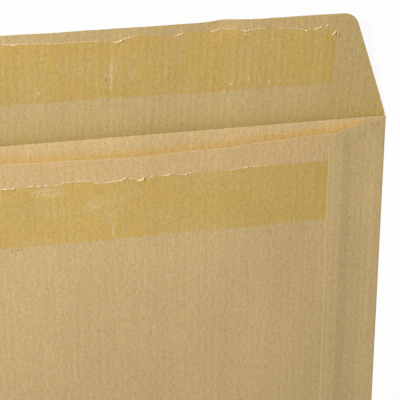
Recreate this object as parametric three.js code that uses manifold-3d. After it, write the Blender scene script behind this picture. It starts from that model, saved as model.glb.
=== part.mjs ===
// An opened kraft envelope of the pocket kind, lying on its front panel with its flap raised.
// One paper blank makes it: the front panel below, the back panel folded up from the bottom,
// a side flap folded over each edge of the back panel and glued there, and the closing flap.
// A strip of dried latex lies on the closing flap and another on the back panel, so that
// the two stick together when the envelope is pressed shut.
//
// Lengths are in millimetres. +X runs to the right across the back, +Y towards the closing
// flap and +Z up. The origin is the centre of the front panel's underside.

import * as THREE from "three";
import Module from "manifold-3d";
import { mergeVertices } from "three/addons/utils/BufferGeometryUtils.js";

const wasm = await Module();
wasm.setup();

const degree = Math.PI / 180;

// Driving dimensions
const paper = {
  thickness: 0.15,
  foldRadius: 0.3, // of the middle of the paper, round the side folds and the bottom fold
};
const pocket = {
  width: 162, // from side fold to side fold
  height: 229, // from the bottom fold to the closing flap's crease
  rise: 5.4, // how far the back panel stands up in the middle of the mouth
  crownPower: 2.5, // shape of that rise across the pocket: higher is flatter in the middle
  fadePower: 3, // shape of its fall towards the bottom fold
};
const throat = {
  setback: 1.8, // from the crease to the back panel's edge, at the side folds
  dip: 2.5, // how much further back the edge lies in the middle
};
const sideFlap = {
  width: 19.8,
  endAngle: 12.5 * degree, // slope of its two ends
  cornerRadius: 6, // between an end and the cut edge
};
const seam = {
  overlap: 5.2, // of a side flap over the back panel
  stepLength: 2.4, // over which the side flap climbs onto the back panel
  pressed: 0.04, // how far the glued papers are pressed into each other
  taperAngle: 52 * degree, // of the back panel's sides, next to the bottom fold
};
const closingFlap = {
  height: 39.7, // along the paper, from the crease
  sideStart: 0.8, // how far its sides run straight out before they slant
  sideSlant: 20.3 * degree,
  cornerRadius: 5.6,
  creaseAngle: 30 * degree, // how steeply the paper leaves the crease
  restAngle: 11.5 * degree, // how steeply it runs further out
  bendLength: 5.4, // over which it eases from one to the other
};
const seal = {
  thickness: 0.05,
  clearance: 0.02, // under the strip
  sideGap: 0.3, // between the back strip's end and the side flap
  flapMargin: 3.4, // from the closing flap's free edge to its strip
  flapWidth: 21.2,
  backMargin: 12, // from the crease to the back panel's strip
  backWidth: 20.6,
};

// How finely curved paper is divided
const facets = {
  foldSteps: 6,
  cornerSteps: 5,
  crownColumns: 16,
  seamColumns: 2,
  pocketRows: 10,
  endRows: 3,
  throatRows: 2,
  taperRows: 3,
};

// Places worked out from the driving dimensions
const halfPaper = paper.thickness / 2;
const foldReach = paper.foldRadius + halfPaper;
const foldRun = Math.PI * paper.foldRadius;
const flatHalfWidth = pocket.width / 2 - foldReach;
const crease = pocket.height / 2;
const flatBottom = foldReach - pocket.height / 2;
const upperLevel = halfPaper + 2 * paper.foldRadius;
const sealHalfWidth = pocket.width / 2 - sideFlap.width - seal.sideGap;
const backHalfWidth = pocket.width / 2 - sideFlap.width + seam.overlap;
const flapSealFar = closingFlap.height - seal.flapMargin;
const flapSealNear = flapSealFar - seal.flapWidth;
const backSealNear = crease - seal.backMargin;
const backSealFar = backSealNear - seal.backWidth;

// Evenly spaced numbers from first to last, both included.
function spread(first, last, steps) {
  return Array.from({ length: steps + 1 }, (_, i) => first + ((last - first) * i) / steps);
}

// Numbers in rising order, without those that nearly repeat the one before.
function inOrder(numbers) {
  const nearlySame = 1e-3;
  return numbers
    .toSorted((a, b) => a - b)
    .filter((value, i, all) => i === 0 || value - all[i - 1] > nearlySame);
}

// Height of the middle of the back layer's paper: a crown that is highest at the mouth.
function backHeight(x, y) {
  const across = Math.min(Math.abs(x) / flatHalfWidth, 1);
  const along = THREE.MathUtils.clamp((crease - y) / (crease - flatBottom), 0, 1);
  const crown = 1 - across ** pocket.crownPower;
  return upperLevel + pocket.rise * crown * (1 - along ** pocket.fadePower);
}

// Half the back panel's width at a distance along the paper from the start of the bottom fold.
function backHalfWidthAt(run) {
  return Math.max(flatHalfWidth - run * Math.tan(seam.taperAngle), backHalfWidth);
}

// Height of the middle of a side flap's paper, which steps up onto the back panel's edge.
function sideFlapHeight(x, y) {
  const beyondEdge = backHalfWidthAt(foldRun + y - flatBottom) - Math.abs(x);
  const climb = THREE.MathUtils.smoothstep(beyondEdge, -seam.stepLength, 0);
  return backHeight(x, y) + climb * (paper.thickness - seam.pressed);
}

// How far a side flap's end lies back from the fold's corner, at a distance in from the fold.
function sideFlapSetback(inward) {
  const { width, endAngle, cornerRadius } = sideFlap;
  const centre = width - cornerRadius;
  if (inward <= centre + cornerRadius * Math.sin(endAngle)) return inward * Math.tan(endAngle);
  const centreSetback = centre * Math.tan(endAngle) + cornerRadius / Math.cos(endAngle);
  return centreSetback - Math.sqrt(Math.max(cornerRadius ** 2 - (inward - centre) ** 2, 0));
}

// Half the closing flap's width at a distance along the paper from the crease.
function closingHalfWidthAt(run) {
  const { height, sideStart, sideSlant, cornerRadius } = closingFlap;
  const centreRun = height - cornerRadius;
  const slantedIn = (reach) => Math.max(reach - sideStart, 0) * Math.tan(sideSlant);
  if (run <= centreRun + cornerRadius * Math.sin(sideSlant)) return flatHalfWidth - slantedIn(run);
  const centre = flatHalfWidth - slantedIn(centreRun) - cornerRadius / Math.cos(sideSlant);
  return centre + Math.sqrt(Math.max(cornerRadius ** 2 - (run - centreRun) ** 2, 0));
}

// The throat's edge, as a place along Y: a shallow dip between the side folds.
function throatEdge(x) {
  const across = Math.min(Math.abs(x) / (pocket.width / 2), 1);
  return crease - throat.setback - throat.dip * (1 - across ** 2);
}

// The normal of a height map, upwards.
function upwardNormal(height, x, y) {
  const reach = 0.05;
  const slopeX = (height(x + reach, y) - height(x - reach, y)) / (2 * reach);
  const slopeY = (height(x, y + reach) - height(x, y - reach)) / (2 * reach);
  return new THREE.Vector3(-slopeX, -slopeY, 1).normalize();
}

// A place on the middle of the paper, with the normal of the face that ends up inside.
function place(x, y, z, inside) {
  return { point: new THREE.Vector3(x, y, z), inside };
}

// A place on the upper layer, whose inside faces down.
function upperPlace(height, x, y) {
  return place(x, y, height(x, y), upwardNormal(height, x, y).negate());
}

// A closed sheet over a grid of places, between two distances from the middle of the paper
// along the inside normal. Rows run so that across and along make the inside normal.
function sheetGeometry(grid, low, high) {
  const rows = grid.length;
  const columns = grid[0].length;
  const positions = [];
  for (const distance of [low, high]) {
    for (const { point, inside } of grid.flat()) {
      positions.push(...point.clone().addScaledVector(inside, distance).toArray());
    }
  }
  const lower = (row, column) => row * columns + column;
  const upper = (row, column) => rows * columns + lower(row, column);
  const index = [];
  const quad = (a, b, c, d) => index.push(a, b, c, a, c, d);
  for (let r = 0; r < rows - 1; r += 1) {
    for (let c = 0; c < columns - 1; c += 1) {
      quad(upper(r, c), upper(r, c + 1), upper(r + 1, c + 1), upper(r + 1, c));
      index.push(lower(r, c), lower(r + 1, c + 1), lower(r, c + 1));
      index.push(lower(r, c), lower(r + 1, c), lower(r + 1, c + 1));
    }
  }
  const rim = [];
  for (let c = 0; c < columns - 1; c += 1) rim.push([0, c]);
  for (let r = 0; r < rows - 1; r += 1) rim.push([r, columns - 1]);
  for (let c = columns - 1; c > 0; c -= 1) rim.push([rows - 1, c]);
  for (let r = rows - 1; r > 0; r -= 1) rim.push([r, 0]);
  rim.forEach((from, i) => {
    const to = rim[(i + 1) % rim.length];
    quad(lower(...from), lower(...to), upper(...to), upper(...from));
  });
  const geometry = new THREE.BufferGeometry();
  geometry.setAttribute("position", new THREE.Float32BufferAttribute(positions, 3));
  geometry.setIndex(index);
  return geometry;
}

// A closed geometry as a solid that can be joined to another.
function solidOf(geometry) {
  const merged = mergeVertices(geometry, 1e-4);
  return new wasm.Manifold(
    new wasm.Mesh({
      numProp: 3,
      vertProperties: merged.attributes.position.array,
      triVerts: new Uint32Array(merged.index.array),
    }),
  );
}

// A solid as a geometry with flat-shaded faces.
function geometryOf(solid) {
  const { vertProperties, triVerts, numProp } = solid.getMesh();
  const geometry = new THREE.BufferGeometry();
  geometry.setAttribute("position", new THREE.BufferAttribute(vertProperties, numProp));
  geometry.setIndex(new THREE.BufferAttribute(triVerts, 1));
  return geometry;
}

// The back panel's columns as shares of its half-width. A column lies on the strip's end.
function backColumns() {
  const stripShare = sealHalfWidth / backHalfWidth;
  const outer = spread(stripShare, 1, facets.seamColumns).slice(1);
  return [
    ...outer.map((share) => -share).reverse(),
    ...spread(-stripShare, stripShare, facets.crownColumns),
    ...outer,
  ];
}

// The front panel's and side flaps' rows, as places along Y on the front panel.
function frontRows() {
  const endDepth = sideFlapSetback(sideFlap.width) + sideFlap.cornerRadius;
  return [
    ...spread(flatBottom, flatBottom + endDepth, facets.endRows).slice(0, -1),
    ...spread(flatBottom + endDepth, crease - endDepth, facets.pocketRows),
    ...spread(crease - endDepth, crease, facets.endRows).slice(1),
  ];
}

// The same row on a side flap, whose two ends lie back from the corners.
function sideFlapRow(y, inward) {
  const endDepth = sideFlapSetback(sideFlap.width) + sideFlap.cornerRadius;
  const setback = sideFlapSetback(inward);
  const fromTop = Math.max(1 - (crease - y) / endDepth, 0);
  const fromBottom = Math.max(1 - (y - flatBottom) / endDepth, 0);
  return y - setback * fromTop + setback * fromBottom;
}

// One row across the paper that wraps the pocket: side flap, fold, front panel, fold, side flap.
function wrapRow(y) {
  const { width, endAngle, cornerRadius } = sideFlap;
  const stepEnd = width - seam.overlap;
  const cornerColumns = spread(90 * degree - endAngle, 0, facets.cornerSteps).map(
    (angle) => width - cornerRadius + cornerRadius * Math.cos(angle),
  );
  const flapColumns = inOrder([
    stepEnd / 2,
    stepEnd - seam.stepLength,
    stepEnd - seam.stepLength / 2,
    stepEnd,
    ...cornerColumns,
  ]);
  const sideOf = (side) => {
    const fold = spread(-90 * degree, 90 * degree, facets.foldSteps).slice(1).map((angle) => {
      const out = new THREE.Vector3(side * Math.cos(angle), 0, Math.sin(angle));
      const x = side * flatHalfWidth + paper.foldRadius * out.x;
      const z = halfPaper + paper.foldRadius * (1 + out.z);
      return place(x, y, z, out.negate());
    });
    const flap = flapColumns.map((inward) => {
      const x = side * (pocket.width / 2 - inward);
      return upperPlace(sideFlapHeight, x, sideFlapRow(y, inward));
    });
    return [...fold, ...flap];
  };
  const front = backColumns().map((share) => {
    return place(share * flatHalfWidth, y, halfPaper, new THREE.Vector3(0, 0, 1));
  });
  return [...sideOf(-1).reverse(), ...front, ...sideOf(1)];
}

// The closing flap's rows, from the crease outwards. Rows lie on the strip's edges.
function closingFlapRows() {
  const { height, sideStart, sideSlant, cornerRadius, bendLength } = closingFlap;
  const bend = spread(0, 2 * bendLength, facets.foldSteps);
  const corner = spread(sideSlant, 90 * degree, facets.cornerSteps).map(
    (angle) => height - cornerRadius + cornerRadius * Math.sin(angle),
  );
  return inOrder([...bend, ...corner, sideStart, flapSealNear, flapSealFar]);
}

// The closing flap's side view: for each row, how far it reaches along Y, its height and angle.
function closingFlapProfile(rows) {
  const { creaseAngle, restAngle, bendLength } = closingFlap;
  const angleAt = (run) => restAngle + (creaseAngle - restAngle) * Math.exp(-run / bendLength);
  let y = crease;
  let z = halfPaper;
  return rows.map((run, i) => {
    const step = run - (i ? rows[i - 1] : run);
    const middle = angleAt(run - step / 2);
    y += step * Math.cos(middle);
    z += step * Math.sin(middle);
    return { run, y, z, angle: i ? angleAt(run) : 0 };
  });
}

// One row across the closing flap, as wide as half-width says on each side.
function closingFlapRow({ y, z, angle }, halfWidth, shares) {
  const inside = new THREE.Vector3(0, -Math.sin(angle), Math.cos(angle));
  return shares.map((share) => place(share * halfWidth, y, z, inside));
}

// The bottom fold's rows, from where the back panel begins down to the front panel.
function bottomFoldGrid() {
  return spread(90 * degree, -90 * degree, facets.foldSteps).map((angle) => {
    const out = new THREE.Vector3(0, -Math.cos(angle), Math.sin(angle));
    const run = paper.foldRadius * (angle + 90 * degree);
    const y = flatBottom + paper.foldRadius * out.y;
    const z = halfPaper + paper.foldRadius * (1 + out.z);
    return backColumns().map((share) => {
      return place(share * backHalfWidthAt(run), y, z, out.clone().negate());
    });
  });
}

// The back panel's straight rows between the throat and the taper, as places along Y.
// Rows lie on the strip's two edges.
function backRows() {
  const taperEnd = flatBottom + (flatHalfWidth - backHalfWidth) / Math.tan(seam.taperAngle) - foldRun;
  return [
    ...spread(backSealNear, backSealFar, facets.endRows),
    ...spread(backSealFar, taperEnd, facets.pocketRows).slice(1),
    ...spread(taperEnd, flatBottom, facets.taperRows).slice(1, -1),
  ];
}

// One straight row across the back panel.
function backRow(y) {
  const halfWidth = backHalfWidthAt(foldRun + y - flatBottom);
  return backColumns().map((share) => upperPlace(backHeight, share * halfWidth, y));
}

// The rows from the throat's dipping edge to the first straight row.
function throatGrid() {
  return spread(0, 1, facets.throatRows).slice(0, -1).map((share) => {
    return backColumns().map((column) => {
      const x = column * backHalfWidth;
      return upperPlace(backHeight, x, THREE.MathUtils.lerp(throatEdge(x), backSealNear, share));
    });
  });
}

// The whole paper sheet: the wrap, the closing flap and the back panel joined at their folds.
function paperSheet() {
  const shares = backColumns();
  const wrap = frontRows().map(wrapRow);
  const flap = closingFlapProfile(closingFlapRows()).map((row) => {
    return closingFlapRow(row, closingHalfWidthAt(row.run), shares);
  });
  const back = [...throatGrid(), ...backRows().map(backRow), ...bottomFoldGrid()];
  const solids = [wrap, flap, back].map((grid) => {
    return solidOf(sheetGeometry(grid, -halfPaper, halfPaper));
  });
  return geometryOf(solids[0].add(solids[1]).add(solids[2]));
}

// The closing flap's latex strip, on its inside.
function flapSeal() {
  const rows = closingFlapProfile(closingFlapRows()).filter(
    ({ run }) => run >= flapSealNear && run <= flapSealFar,
  );
  const grid = rows.map((row) => closingFlapRow(row, sealHalfWidth, [-1, 1]));
  const bottom = halfPaper + seal.clearance;
  return sheetGeometry(grid, bottom, bottom + seal.thickness);
}

// The back panel's latex strip, on its outside.
function backSeal() {
  const bottom = halfPaper + seal.clearance;
  const strip = backRows().slice(0, facets.endRows + 1).map((y) => {
    return backRow(y).slice(facets.seamColumns, -facets.seamColumns);
  });
  return sheetGeometry(strip, -(bottom + seal.thickness), -bottom);
}

const kraft = new THREE.MeshStandardMaterial({ color: 0xc2a67c, roughness: 0.85, metalness: 0 });
const driedLatex = new THREE.MeshStandardMaterial({ color: 0xbda05c, roughness: 0.55, metalness: 0 });

// A named piece of the envelope in its own material.
function piece(name, geometry, material) {
  const mesh = new THREE.Mesh(geometry, material.clone());
  mesh.name = name;
  return mesh;
}

const envelope = new THREE.Group();
envelope.add(
  piece("envelope_sheet", paperSheet(), kraft),
  piece("flap_seal_strip", flapSeal(), driedLatex),
  piece("back_seal_strip", backSeal(), driedLatex),
);

export default envelope;
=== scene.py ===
"""The looks of an opened kraft envelope that lies on its front panel with its flap raised.

Lengths are in millimetres until a mesh is made. The axes are the part's own: +X to the right
across the back, +Y towards the closing flap and +Z up. The middle of the paper is worked out
first, and its two faces lie half a thickness to either side. "Inside" is the face of the paper
that the closed envelope hides. The camera, the lamp and the floor are given in metres.
"""

import math

import bpy
import numpy as np
from mathutils import Matrix, Vector


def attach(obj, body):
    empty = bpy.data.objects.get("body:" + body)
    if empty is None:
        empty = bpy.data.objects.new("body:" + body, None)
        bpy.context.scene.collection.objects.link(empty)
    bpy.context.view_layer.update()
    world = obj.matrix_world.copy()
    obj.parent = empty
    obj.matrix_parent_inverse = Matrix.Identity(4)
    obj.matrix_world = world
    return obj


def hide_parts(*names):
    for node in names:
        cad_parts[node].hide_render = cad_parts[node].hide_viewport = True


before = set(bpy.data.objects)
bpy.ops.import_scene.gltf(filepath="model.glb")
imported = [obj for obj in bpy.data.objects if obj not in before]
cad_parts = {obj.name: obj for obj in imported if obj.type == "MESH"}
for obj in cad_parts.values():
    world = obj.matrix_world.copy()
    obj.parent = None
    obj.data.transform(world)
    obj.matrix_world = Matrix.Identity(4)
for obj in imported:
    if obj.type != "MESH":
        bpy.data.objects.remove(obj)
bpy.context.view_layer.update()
scene = bpy.context.scene
scene.view_settings.view_transform = "Standard"

MILLIMETRE = 0.001

# The envelope's sizes
WIDTH = 162.0
HEIGHT = 229.0
PAPER = 0.15
FOLD_RADIUS = 0.3
HALF_PAPER = PAPER / 2
FOLD_REACH = FOLD_RADIUS + HALF_PAPER
FOLD_RUN = math.pi * FOLD_RADIUS
FLAT_HALF_WIDTH = WIDTH / 2 - FOLD_REACH
CREASE = HEIGHT / 2
FLAT_BOTTOM = FOLD_REACH - HEIGHT / 2
UPPER_LEVEL = HALF_PAPER + 2 * FOLD_RADIUS

POCKET_RISE = 5.4
CROWN_POWER = 2.5
FADE_POWER = 3.0
THROAT_SETBACK = 1.8
THROAT_DIP = 2.5
THROAT_FADE = 14.0

SIDE_FLAP_WIDTH = 19.8
SIDE_END_ANGLE = math.radians(10.6)
SIDE_CORNER_WIDTH = 3.7
SIDE_CORNER_DEPTH = 6.0
SEAM_OVERLAP = 5.2
SEAM_STEP = 2.4
SEAM_CLIMB = 0.11
SEAM_SAG = 0.6
SEAM_RIDGE = 0.1
TAPER_ANGLE = math.radians(52)
BACK_HALF_WIDTH = WIDTH / 2 - SIDE_FLAP_WIDTH + SEAM_OVERLAP

FLAP_HEIGHT = 39.7
FLAP_SIDE_START = 0.8
FLAP_SLANT = math.radians(20.3)
FLAP_CORNER_RADIUS = 5.6
FLAP_CREASE_ANGLE = math.radians(30)
FLAP_REST_ANGLE = math.radians(11.5)
FLAP_BEND = 5.4

RIB_PITCH = 2.35
RIB_HEIGHT = 0.011

# Waves, each as its height, its turn in a millimetre and its start
RIB_WANDER = [(0.35, 0.083, 1.1), (0.25, 0.031, 0.0)]
RIB_STRENGTH = [(0.35, 0.47, 0.0), (0.2, 0.171, 2.0)]
BACK_WAVES = [(0.05, 0.27, 0.6), (0.035, 0.47, 2.1), (0.02, 0.83, 0.0)]
FLAP_WAVES = [(0.07, 0.21, 0.9), (0.04, 0.43, 0.4), (0.02, 0.9, 0.0)]

# Where the back panel's waves fade, and the slow wave that crosses them
BACK_WAVE_HALF_WIDTH = 61.0
BACK_WAVE_FADE = 45.0
BACK_WAVE_LEAST = 0.3
BACK_WAVE_BOTTOM = 20.0
SLOW_WAVE_HEIGHT = 0.06
SLOW_WAVE_ACROSS = 0.11
SLOW_WAVE_ALONG = 0.045

# The side flap's sag beyond the edge that it covers: its slopes as share, start and run
SAG_SLOPES = [(0.55, -0.9, 5.0), (0.45, -0.2, 8.0)]
SAG_END = 7.6
SAG_END_RUN = 6.4
RIDGE_PLACE = -1.2
RIDGE_REACH = 2.2
SEAM_BOTTOM_RUN = 18.0
SEAM_TOP_RUN = 10.0

# The closing flap's free edge: its dents as middle, depth, and reach to the left and right
FLAP_WAVE_START = 16.0
FREE_EDGE_START = 33.0
FREE_EDGE_RUN = 8.0
FREE_EDGE_DENTS = [(25.0, 1.1, 4.0, 7.0), (-40.0, 0.3, 9.0, 9.0)]

# Painted bounce light in the mouth, pale then warm, where 1 is the place that the line of sight over the
# mouth's edge meets
MOUTH_PAINTED_LIGHT_REACH = 60.0
MOUTH_SIGHT_SLOPE = 0.45
MOUTH_SIDE_START = 25.0
MOUTH_SIDE_RUN = 40.0
MOUTH_SIDE_SHARE = 0.2
WARM_START = 0.45
WARM_RUN = 0.45
WARM_END = 2.5
WARM_END_RUN = 6.0

# Painted light with an olive tint near the closing flap's crease, an ochre tint near its edges, and the
# rosy tint of the back panel's outside above its strip
CREASE_GAP = 0.01
OLIVE_LIGHT_REACH = 9.0
OCHRE_START = 30.0
OCHRE_RUN = 6.0
OCHRE_SIDE_START = 50.0
OCHRE_SIDE_RUN = 12.0
OCHRE_LEFT_END = -60.0
OCHRE_LEFT_RUN = 70.0
ROSY_START = 100.5
ROSY_RUN = 4.0
ROSY_HALF_WIDTH = 64.0
ROSY_SIDE_RUN = 3.0
ROSY_LEAST = 0.15

# How finely the paper is divided
INNER_HALF_WIDTH = 60.0
INNER_COLUMNS = 200
OUTER_COLUMNS = 32
FOLD_STEPS = 8
EDGE_STEPS = [0.0, 0.13, 0.3, 0.55, 1.0]
FAR_FROM_CUT = 9.0
# How much fainter the painted edge highlight is along the closing flap's cut edge
FLAP_EDGE_HIGHLIGHT_DULL = 0.3

# Camera and light
CAMERA_PLACE = (-0.08511, 0.30203, 0.46514)
CAMERA_AHEAD = (0.201, -0.4056, -0.8917)
CAMERA_UP = (0.0881, 0.9141, -0.3959)
CAMERA_LENS = 146.3
CAMERA_SENSOR = 36
LIT_PLACE = (0, 0.1, 0)
KEY_DIRECTION = (-0.45, 0.43, 0.74)
KEY_DISTANCE = 0.6
KEY_SIZE = 0.12
KEY_POWER = 2.76
FILL_LIGHT = 0.41
FILL_COLOUR = (1, 0.95, 0.88, 1)
WHITE = (1, 1, 1, 1)
FLOOR_GREY = (0.9, 0.9, 0.9, 1)
FLOOR_GLOW = 0.93
FLOOR_HALF_WIDTH = 2.0
FLOOR_DROP = 0.03 * MILLIMETRE


def add_camera():
    """Puts the camera where the photograph was taken from."""
    data = bpy.data.cameras.new("camera")
    data.sensor_width = CAMERA_SENSOR
    data.lens = CAMERA_LENS
    data.clip_start = 0.01
    data.clip_end = 10
    camera = bpy.data.objects.new("camera", data)
    scene.collection.objects.link(camera)
    ahead = Vector(CAMERA_AHEAD).normalized()
    right = ahead.cross(Vector(CAMERA_UP)).normalized()
    up = right.cross(ahead)
    turn = Matrix((right, up, -ahead)).transposed()
    camera.matrix_world = Matrix.Translation(CAMERA_PLACE) @ turn.to_4x4()
    scene.camera = camera


def add_key_lamp():
    """A round lamp that shines on the middle of the mouth."""
    data = bpy.data.lights.new("key", "AREA")
    data.shape = "DISK"
    data.size = KEY_SIZE
    data.energy = KEY_POWER
    lamp = bpy.data.objects.new("key", data)
    scene.collection.objects.link(lamp)
    towards = Vector(KEY_DIRECTION).normalized()
    lamp.location = Vector(LIT_PLACE) + towards * KEY_DISTANCE
    lamp.rotation_mode = "QUATERNION"
    lamp.rotation_quaternion = towards.to_track_quat("Z", "Y")


# Materials


class Tree:
    """Adds nodes to a node tree and links them, in few words."""

    def __init__(self, tree):
        self.tree = tree

    def add(self, kind, inputs=None, **settings):
        """A new node with its settings, and its inputs set to values or linked to sockets."""
        node = self.tree.nodes.new(kind)
        for name, value in settings.items():
            setattr(node, name, value)
        for key, value in (inputs or {}).items():
            self.put(node.inputs[key], value)
        return node

    def put(self, socket, value):
        """Links a socket to another or sets its value."""
        if isinstance(value, bpy.types.NodeSocket):
            self.tree.links.new(value, socket)
        else:
            socket.default_value = value

    def math(self, operation, a, b=0.0, c=0.0, clamp=False):
        """The result of a Math node."""
        node = self.add("ShaderNodeMath", {0: a, 1: b, 2: c}, operation=operation, use_clamp=clamp)
        return node.outputs[0]

    def ramp(self, value, low, high, to_low=0.0, to_high=1.0):
        """A value eased from one range to another."""
        inputs = {"Value": value, 1: low, 2: high, 3: to_low, 4: to_high}
        return self.add("ShaderNodeMapRange", inputs, interpolation_type="SMOOTHSTEP").outputs[0]

    def noise(self, place, stretch, offset, detail=2.0, roughness=0.5):
        """Noise at a place that is first stretched and moved, about 0.5 in the middle."""
        inputs = {"Vector": place, "Location": offset, "Scale": stretch}
        moved = self.add("ShaderNodeMapping", inputs).outputs[0]
        inputs = {"Vector": moved, "Scale": 1.0, "Detail": detail, "Roughness": roughness}
        return self.add("ShaderNodeTexNoise", inputs, noise_dimensions="2D").outputs["Fac"]

    def mix(self, factor, a, b, blend="MIX"):
        """Two colours mixed."""
        node = self.add("ShaderNodeMix", data_type="RGBA", blend_type=blend)
        self.put(node.inputs["Factor"], factor)
        self.put(node.inputs[6], a)
        self.put(node.inputs[7], b)
        return node.outputs[2]


def new_group(name, inputs, outputs):
    """A shader node group with its sockets, its tree and its two end nodes."""
    group = bpy.data.node_groups.new(name, "ShaderNodeTree")
    for socket, kind in inputs.items():
        group.interface.new_socket(socket, in_out="INPUT", socket_type=kind)
    for socket, kind in outputs.items():
        group.interface.new_socket(socket, in_out="OUTPUT", socket_type=kind)
    tree = Tree(group)
    return group, tree, tree.add("NodeGroupInput").outputs, tree.add("NodeGroupOutput").inputs


def grain_group():
    """Kraft paper's fibres: tone, yellow tint, flecks of bark and relief."""
    outputs = {"Tone": "NodeSocketFloat", "Tint": "NodeSocketFloat"}
    outputs |= {"Bark": "NodeSocketFloat", "Relief": "NodeSocketFloat"}
    group, tree, given, result = new_group("paper grain", {"Place": "NodeSocketVector"}, outputs)
    place = given["Place"]
    cloud = tree.noise(place, (0.045, 0.02, 1), (3.1, 7.7, 0), 3)
    streak = tree.noise(place, (0.62, 0.05, 1), (11.0, 2.0, 0), 2)
    fibre = tree.noise(place, (1.3, 0.3, 1), (5.0, 9.0, 0), 2, 0.6)
    mottle = tree.noise(place, (1.25, 0.8, 1), (27.0, 14.0, 0), 1, 0.6)
    fine = tree.noise(place, (2.3, 1.9, 1), (1.0, 4.0, 0), 1, 0.6)
    tone = tree.math("MULTIPLY_ADD", cloud, 0.16, 0.92)
    for layer, strength in ((streak, 0.11), (fibre, 0.2), (mottle, 0.27), (fine, 0.44)):
        tone = tree.math("MULTIPLY_ADD", tree.math("SUBTRACT", layer, 0.5), strength, tone)
    tree.put(result["Tone"], tone)
    warm = tree.noise(place, (1.3, 0.42, 1), (21.0, 3.0, 0), 2)
    tree.put(result["Tint"], tree.ramp(warm, 0.35, 0.7))
    speck = tree.noise(place, (1.1, 0.8, 1), (41.0, 13.0, 0), 1)
    tree.put(result["Bark"], tree.ramp(speck, 0.745, 0.79))
    relief = tree.math("MULTIPLY_ADD", fibre, 0.6, tree.math("MULTIPLY", fine, 0.5))
    tree.put(result["Relief"], relief)
    return group


def rib_group():
    """The faint darker lines between the paper's ribs."""
    inputs = {"Place": "NodeSocketVector"}
    group, tree, given, result = new_group("paper ribs", inputs, {"Tone": "NodeSocketFloat"})
    across = tree.add("ShaderNodeSeparateXYZ", {0: given["Place"]}).outputs[0]
    wander = tree.noise(given["Place"], (0.09, 0.008, 1), (17.0, 5.0, 0), 1)
    turns = tree.math("MULTIPLY", across, 2 * math.pi / RIB_PITCH)
    turns = tree.math("MULTIPLY_ADD", wander, 1.2, turns)
    wave = tree.math("SINE", turns)
    strength = tree.noise(given["Place"], (0.16, 0.03, 1), (8.0, 31.0, 0), 1)
    tree.put(result["Tone"], tree.math("MULTIPLY", wave, tree.math("MULTIPLY", strength, 0.036)))
    return group


def patch_group():
    """A soft oval mask round a place on the paper."""
    inputs = {"Place": "NodeSocketVector", "Middle": "NodeSocketVector"}
    inputs["Reach"] = "NodeSocketVector"
    group, tree, given, result = new_group("soft patch", inputs, {"Mask": "NodeSocketFloat"})
    ends = {0: given["Place"], 1: given["Middle"]}
    away = tree.add("ShaderNodeVectorMath", ends, operation="SUBTRACT").outputs[0]
    scaled = tree.add("ShaderNodeVectorMath", {0: away, 1: given["Reach"]}, operation="DIVIDE")
    length = tree.add("ShaderNodeVectorMath", {0: scaled.outputs[0]}, operation="LENGTH")
    tree.put(result["Mask"], tree.ramp(length.outputs["Value"], 0.35, 1.0, 1.0, 0.0))
    return group


def cover_group():
    """How fully the dried latex colours the paper: streaked, and thinner at its edges."""
    inputs = {"Place": "NodeSocketVector", "From edge": "NodeSocketFloat"}
    outputs = {"Cover": "NodeSocketFloat"}
    group, tree, given, result = new_group("latex cover", inputs, outputs)
    place = given["Place"]
    streak = tree.noise(place, (0.75, 0.06, 1), (6.0, 1.0, 0), 2, 0.6)
    mottle = tree.noise(place, (1.7, 0.55, 1), (2.0, 8.0, 0), 2, 0.6)
    cloud = tree.noise(place, (0.07, 0.11, 1), (9.0, 4.0, 0), 2)
    cover = tree.math("MULTIPLY_ADD", tree.ramp(streak, 0.3, 0.62), 0.2, 0.34)
    cover = tree.math("MULTIPLY_ADD", tree.ramp(mottle, 0.3, 0.6), 0.36, cover)
    cover = tree.math("MULTIPLY_ADD", tree.ramp(cloud, 0.3, 0.65), 0.22, cover)
    ragged = tree.math("MULTIPLY_ADD", mottle, 0.7, given["From edge"])
    edge = tree.ramp(ragged, 0.3, 0.95)
    tree.put(result["Cover"], tree.math("MULTIPLY", cover, edge, clamp=True))
    return group


GRAIN = grain_group()
RIBS = rib_group()
PATCH = patch_group()
COVER = cover_group()

KRAFT = (0.55, 0.405, 0.208, 1)
KRAFT_YELLOW = (0.537, 0.394, 0.168, 1)
KRAFT_EDGE_HIGHLIGHT = (0.78, 0.58, 0.28, 1)
KRAFT_BARK = (0.23, 0.15, 0.07, 1)
# Painted bounce light inside the mouth: paler near the crease, warmer deeper in
PAINTED_BOUNCE_PALE = (1.22, 1.22, 1.24, 1)
PAINTED_BOUNCE_WARM = (1.33, 1.22, 0.88, 1)
# Painted light that lifts the shade near the flap's crease, with an olive tint
LIFT_OLIVE_AND_PAINTED_LIGHT = (1.1, 1.09, 0.8, 1)
LIFT_ROSY = (1.08, 1.02, 1.0, 1)
LIFT_OCHRE = (0.965, 0.96, 0.87, 1)
LATEX = (0.965, 0.885, 0.48, 1)
CREAM = (0.86, 0.68, 0.46, 1)
CREAM_DEEP = (0.74, 0.52, 0.27, 1)
BARK_DARK = (0.12, 0.075, 0.035, 1)
BARK_LIGHT = (0.24, 0.15, 0.07, 1)

LIFTS = {
    "pale": PAINTED_BOUNCE_PALE,
    "warm": PAINTED_BOUNCE_WARM,
    "olive": LIFT_OLIVE_AND_PAINTED_LIGHT,
    "rosy": LIFT_ROSY,
    "ochre": LIFT_OCHRE,
}
BARK_STRENGTH = 0.25
HIGHLIGHT_REACH = 0.45
HIGHLIGHT_STRENGTH = 0.62
KRAFT_RELIEF = 0.05 * MILLIMETRE
LATEX_RELIEF = 0.03 * MILLIMETRE
LATEX_DENSE_START = 56.0
LATEX_DENSE_END = 59.0
LATEX_DENSE = 0.3
RUBBED_CREAM = 0.45


def new_material(name):
    """A material with a Tree for its nodes and its main shader."""
    material = bpy.data.materials.new(name)
    material.use_nodes = True
    tree = Tree(material.node_tree)
    return material, tree, material.node_tree.nodes["Principled BSDF"]


def attribute(tree, name):
    """The value that a mesh stores at its points under a name."""
    return tree.add("ShaderNodeAttribute", attribute_name=name).outputs["Fac"]


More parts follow.
